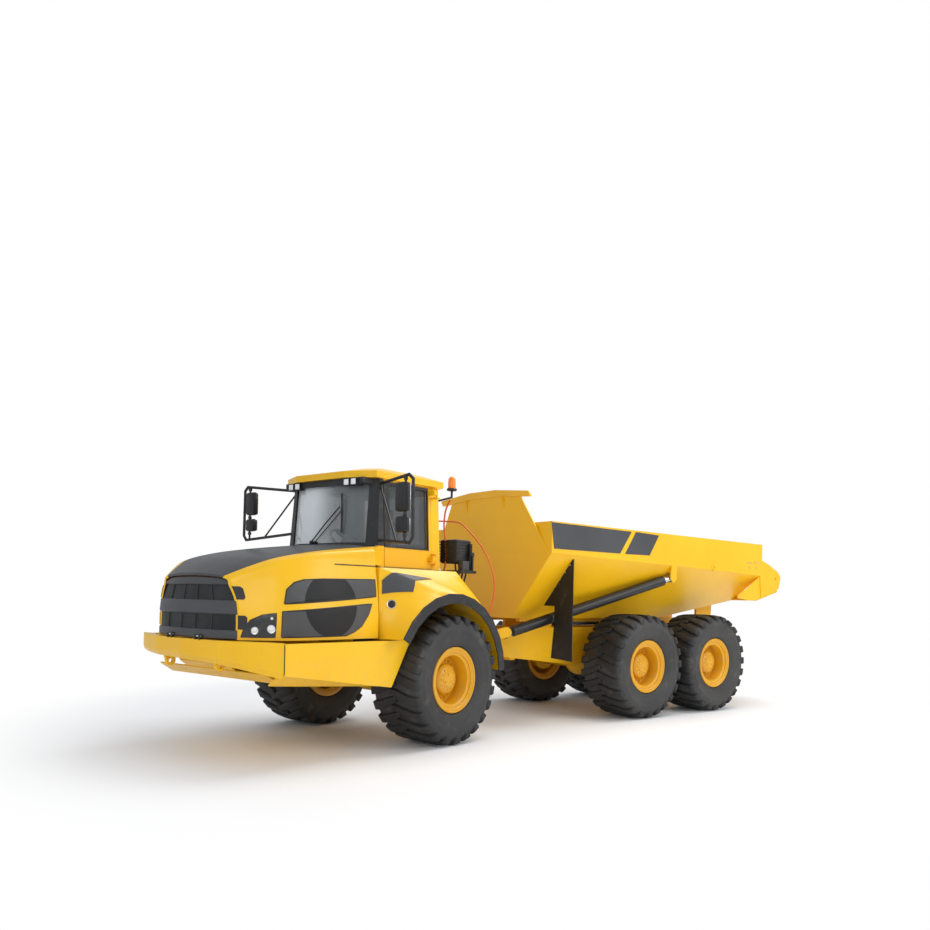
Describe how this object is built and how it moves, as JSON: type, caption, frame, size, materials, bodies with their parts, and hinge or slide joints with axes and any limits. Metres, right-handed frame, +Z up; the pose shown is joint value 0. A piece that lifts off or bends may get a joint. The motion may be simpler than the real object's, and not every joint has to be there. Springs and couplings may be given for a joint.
{
  "type": "articulated dump truck",
  "caption": "Articulated dump truck with a hinged front and rear unit, open tipping body, cab behind a sloping hood and wide lugged tyres.",
  "frame": {"origin": "middle of the truck's box as it stands, on the ground", "axes": "+X forward along the front unit, +Y to its left, +Z up"},
  "size_m": [10.7246, 4.4444, 3.3169],
  "materials": {
    "yellow_paint": "satin gloss paint",
    "dark_grey_paint": "matt paint",
    "black_plastic": "matt",
    "lamp_glass": "clear lens",
    "tinted_glass": "tinted",
    "tyre_rubber": "matt",
    "flap_rubber": "matt",
    "dark_steel": "satin",
    "cast_metal": "rough"
  },
  "bodies": {
    "front_frame": {"front_frame": "yellow_paint", "front_axle": "yellow_paint", "engine": "cast_metal", "front_bumper": "yellow_paint", "side_skirts": "yellow_paint", "belly_plate": "yellow_paint", "fenders": "yellow_paint", "fender_lips": "black_plastic", "cab_body": "yellow_paint", "cowl": "dark_grey_paint", "cab_roof": "yellow_paint", "windscreen": "tinted_glass", "cab_windows": "tinted_glass", "driver_seat": "black_plastic", "dashboard": "black_plastic", "mirror_frames": "black_plastic", "mirror_heads": "black_plastic", "roof_lamps": "black_plastic", "air_unit": "black_plastic", "beacon": "black_plastic"},
    "hood": {"hood": "yellow_paint", "hood_top": "dark_grey_paint", "grille": "dark_grey_paint", "side_grilles": "black_plastic", "headlamps": "lamp_glass"},
    "door_left": {"door_left": "yellow_paint", "door_glass": "tinted_glass"},
    "hitch": {"hitch_yoke": "yellow_paint"},
    "rear_frame": {"rear_frame": "yellow_paint", "bogie_beams": "yellow_paint", "mid_axle": "yellow_paint", "rear_axle": "yellow_paint"},
    "dump_body": {"dump_body": "yellow_paint", "body_flaps": "flap_rubber"},
    "wheel_front_left": {"tyre_front_left": "tyre_rubber", "rim_front_left": "yellow_paint"},
    "wheel_front_right": {"tyre_front_right": "tyre_rubber", "rim_front_right": "yellow_paint"},
    "wheel_mid_left": {"tyre_mid_left": "tyre_rubber", "rim_mid_left": "yellow_paint"},
    "wheel_mid_right": {"tyre_mid_right": "tyre_rubber", "rim_mid_right": "yellow_paint"},
    "wheel_rear_left": {"tyre_rear_left": "tyre_rubber", "rim_rear_left": "yellow_paint"},
    "wheel_rear_right": {"tyre_rear_right": "tyre_rubber", "rim_rear_right": "yellow_paint"},
    "steer_barrel_left": {"steer_barrel_left": "dark_steel"},
    "steer_rod_left": {"steer_rod_left": "dark_steel"},
    "steer_barrel_right": {"steer_barrel_right": "dark_steel"},
    "steer_rod_right": {"steer_rod_right": "dark_steel"},
    "hoist_barrel_left": {"hoist_barrel_left": "dark_steel"},
    "hoist_rod_left": {"hoist_rod_left": "dark_steel"},
    "hoist_barrel_right": {"hoist_barrel_right": "dark_steel"},
    "hoist_rod_right": {"hoist_rod_right": "dark_steel"}
  },
  "joints": [
    {"name": "steering", "type": "hinge", "parent": "front_frame", "child": "hitch", "pos_m": [1.39628, -0.59422, 0.92685], "axis": [0, 0, 1], "range_deg": [-31.9, 58.1]},
    {"name": "hitch_roll", "type": "hinge", "parent": "hitch", "child": "rear_frame", "pos_m": [1.03591, -0.51036, 0.92685], "axis": [0.974, -0.2267, 0], "range_deg": [-15, 15]},
    {"name": "body_tip", "type": "hinge", "parent": "rear_frame", "child": "dump_body", "pos_m": [-4.22356, 0.71356, 1.32685], "axis": [-0.2267, -0.974, 0], "range_deg": [0, 74]},
    {"name": "hood_hinge", "type": "hinge", "parent": "front_frame", "child": "hood", "pos_m": [5.33228, -0.59422, 1.31485], "axis": [0, 1, 0], "range_deg": [0, 90]},
    {"name": "door_left_hinge", "type": "hinge", "parent": "front_frame", "child": "door_left", "pos_m": [2.36829, 0.27378, 2.64185], "axis": [0, 0, 1], "range_deg": [0, 75]},
    {"name": "wheel_front_left", "type": "hinge", "parent": "front_frame", "child": "wheel_front_left", "pos_m": [2.60629, 0.51378, 0.77685], "axis": [0, 1, 0], "continuous": true},
    {"name": "wheel_front_right", "type": "hinge", "parent": "front_frame", "child": "wheel_front_right", "pos_m": [2.60629, -1.70222, 0.77685], "axis": [0, 1, 0], "continuous": true},
    {"name": "wheel_mid_left", "type": "hinge", "parent": "rear_frame", "child": "wheel_mid_left", "pos_m": [-1.24042, 1.15697, 0.77685], "axis": [0.2267, 0.974, 0], "continuous": true},
    {"name": "wheel_mid_right", "type": "hinge", "parent": "rear_frame", "child": "wheel_mid_right", "pos_m": [-1.74268, -1.00136, 0.77685], "axis": [0.2267, 0.974, 0], "continuous": true},
    {"name": "wheel_rear_left", "type": "hinge", "parent": "rear_frame", "child": "wheel_rear_left", "pos_m": [-2.86696, 1.53548, 0.77685], "axis": [0.2267, 0.974, 0], "continuous": true},
    {"name": "wheel_rear_right", "type": "hinge", "parent": "rear_frame", "child": "wheel_rear_right", "pos_m": [-3.36922, -0.62285, 0.77685], "axis": [0.2267, 0.974, 0], "continuous": true},
    {"name": "steer_barrel_left_turn", "type": "hinge", "parent": "front_frame", "child": "steer_barrel_left", "pos_m": [2.27629, -0.09422, 0.92685], "axis": [0, 0, 1], "range_deg": [-1.12, 2.04]},
    {"name": "steer_rod_left_slide", "type": "slide", "parent": "steer_barrel_left", "child": "steer_rod_left", "axis": [-0.9799, -0.1995, 0], "range_m": [-0.16175, 0.29459]},
    {"name": "steer_barrel_right_turn", "type": "hinge", "parent": "front_frame", "child": "steer_barrel_right", "pos_m": [2.27629, -1.09422, 0.92685], "axis": [0, 0, 1], "range_deg": [-1.12, 2.04]},
    {"name": "steer_rod_right_slide", "type": "slide", "parent": "steer_barrel_right", "child": "steer_rod_right", "axis": [-0.9765, 0.2153, 0], "range_m": [-0.30667, 0.16838]},
    {"name": "hoist_barrel_left_turn", "type": "hinge", "parent": "rear_frame", "child": "hoist_barrel_left", "pos_m": [0.84847, 0.2725, 1.26185], "axis": [0.4795, 0.7433, 0.4665], "range_deg": [0, 9.11]},
    {"name": "hoist_rod_left_slide", "type": "slide", "parent": "hoist_barrel_left", "child": "hoist_rod_left", "axis": [-0.8772, 0.3904, 0.2796], "range_m": [0, 2.6938]},
    {"name": "hoist_barrel_right_turn", "type": "hinge", "parent": "rear_frame", "child": "hoist_barrel_right", "pos_m": [0.52209, -1.13002, 1.26185], "axis": [-0.102, 0.8786, -0.4665], "range_deg": [0, 9.11]},
    {"name": "hoist_rod_right_slide", "type": "slide", "parent": "hoist_barrel_right", "child": "hoist_rod_right", "axis": [-0.9594, 0.037, 0.2796], "range_m": [0, 2.6938]}
  ],
  "couplings": [
    {"joint": "steer_barrel_left_turn", "follows": "steering", "ratio": 0.034461},
    {"joint": "steer_rod_left_slide", "follows": "steering", "m_per_rad": 0.28482},
    {"joint": "steer_barrel_right_turn", "follows": "steering", "ratio": 0.034352},
    {"joint": "steer_rod_right_slide", "follows": "steering", "m_per_rad": -0.29649},
    {"joint": "hoist_barrel_left_turn", "follows": "body_tip", "ratio": 0.12185},
    {"joint": "hoist_rod_left_slide", "follows": "body_tip", "m_per_rad": 2.0651},
    {"joint": "hoist_barrel_right_turn", "follows": "body_tip", "ratio": 0.12185},
    {"joint": "hoist_rod_right_slide", "follows": "body_tip", "m_per_rad": 2.0651}
  ]
}
